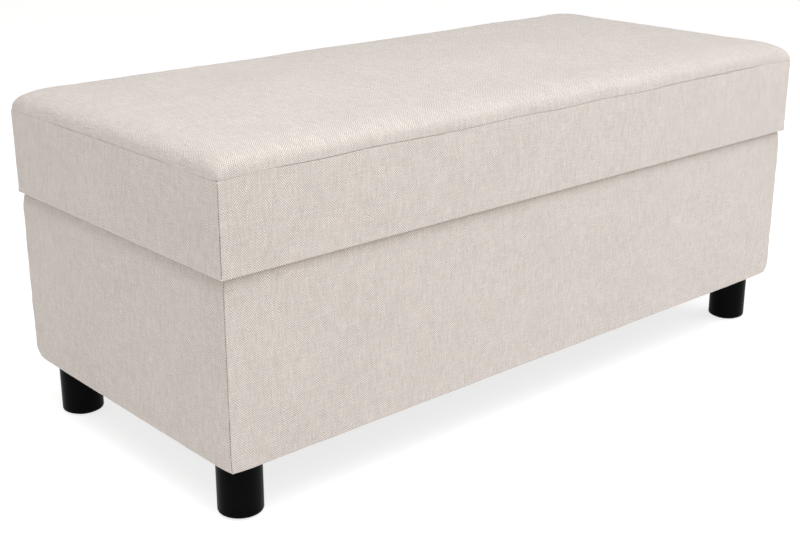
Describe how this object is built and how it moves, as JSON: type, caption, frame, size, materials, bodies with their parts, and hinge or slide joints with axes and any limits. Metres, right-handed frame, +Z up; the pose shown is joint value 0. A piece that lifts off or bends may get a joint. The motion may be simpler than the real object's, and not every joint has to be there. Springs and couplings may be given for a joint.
{
  "type": "storage bench",
  "caption": "Upholstered storage bench on short round legs: a fabric-covered box with a cushioned lid that lifts on rear hinges and gas struts.",
  "frame": {"origin": "centre of the box's footprint, on the floor", "axes": "+X along the bench's length, -Y out of the front, +Z up"},
  "size_m": [1.1, 0.4975, 0.47],
  "materials": {
    "upholstery_fabric": "matte",
    "lining_cloth": "matte",
    "dust_cloth": "matte",
    "foam": "matte",
    "wadding": "matte",
    "plywood": "matte",
    "batten_wood": "matte",
    "leg_lacquer": "satin",
    "glide_plastic": "matte",
    "bumper_rubber": "matte",
    "zinc_steel": "satin",
    "strut_paint": "satin",
    "rod_chrome": "polished",
    "piston_plastic": "matte"
  },
  "bodies": {
    "box": {"front_panel": "plywood", "back_panel": "plywood", "left_panel": "plywood", "right_panel": "plywood", "bottom_panel": "plywood", "corner_blocks": "batten_wood", "front_rail": "batten_wood", "back_rail": "batten_wood", "left_rail": "batten_wood", "right_rail": "batten_wood", "centre_bearer": "batten_wood", "front_padding": "foam", "back_padding": "foam", "left_padding": "foam", "right_padding": "foam", "base_cover": "upholstery_fabric", "inner_lining": "lining_cloth", "dust_cover": "dust_cloth", "dust_cover_staples": "zinc_steel", "leg_front_left": "leg_lacquer", "leg_front_right": "leg_lacquer", "leg_back_left": "leg_lacquer", "leg_back_right": "leg_lacquer", "leg_bolts": "zinc_steel", "leg_tee_nuts": "zinc_steel", "foot_glides": "glide_plastic", "hinge_base_leaf_left": "zinc_steel", "hinge_base_leaf_right": "zinc_steel", "hinge_pin_left": "zinc_steel", "hinge_pin_right": "zinc_steel", "hinge_base_screws": "zinc_steel", "strut_base_bracket_left": "zinc_steel", "strut_base_bracket_right": "zinc_steel", "strut_base_screws": "zinc_steel", "lid_bumpers": "bumper_rubber"},
    "lid": {"lid_board": "plywood", "lid_foam": "foam", "lid_wadding": "wadding", "lid_top_cover": "upholstery_fabric", "lid_border_front": "upholstery_fabric", "lid_border_back": "upholstery_fabric", "lid_border_left": "upholstery_fabric", "lid_border_right": "upholstery_fabric", "lid_underside_cloth": "lining_cloth", "lid_staples": "zinc_steel", "hinge_lid_leaf_left": "zinc_steel", "hinge_lid_leaf_right": "zinc_steel", "hinge_lid_screws": "zinc_steel", "strut_lid_bracket_left": "zinc_steel", "strut_lid_bracket_right": "zinc_steel", "strut_lid_screws": "zinc_steel"},
    "strut_tube_left": {"strut_cylinder_left": "strut_paint"},
    "strut_shaft_left": {"strut_rod_left": "rod_chrome", "strut_piston_left": "piston_plastic"},
    "strut_tube_right": {"strut_cylinder_right": "strut_paint"},
    "strut_shaft_right": {"strut_rod_right": "rod_chrome", "strut_piston_right": "piston_plastic"}
  },
  "joints": [
    {"name": "lid_hinge", "type": "hinge", "parent": "box", "child": "lid", "pos_m": [0, 0.2467, 0.322], "axis": [-1, 0, 0], "range_deg": [0, 75]},
    {"name": "strut_tube_pivot_left", "type": "hinge", "parent": "box", "child": "strut_tube_left", "pos_m": [-0.512, 0.2087, 0.17689], "axis": [-1, 0, 0], "range_deg": [0, 37.5]},
    {"name": "strut_shaft_pivot_left", "type": "hinge", "parent": "lid", "child": "strut_shaft_left", "pos_m": [-0.512, 0.09778, 0.304], "axis": [-1, 0, 0], "range_deg": [-37.5, 0]},
    {"name": "strut_tube_pivot_right", "type": "hinge", "parent": "box", "child": "strut_tube_right", "pos_m": [0.512, 0.2087, 0.17689], "axis": [-1, 0, 0], "range_deg": [0, 37.5]},
    {"name": "strut_shaft_pivot_right", "type": "hinge", "parent": "lid", "child": "strut_shaft_right", "pos_m": [0.512, 0.09778, 0.304], "axis": [-1, 0, 0], "range_deg": [-37.5, 0]}
  ],
  "couplings": [
    {"joint": "strut_tube_pivot_left", "follows": "lid_hinge", "ratio": 0.5},
    {"joint": "strut_shaft_pivot_left", "follows": "lid_hinge", "ratio": -0.5},
    {"joint": "strut_tube_pivot_right", "follows": "lid_hinge", "ratio": 0.5},
    {"joint": "strut_shaft_pivot_right", "follows": "lid_hinge", "ratio": -0.5}
  ]
}
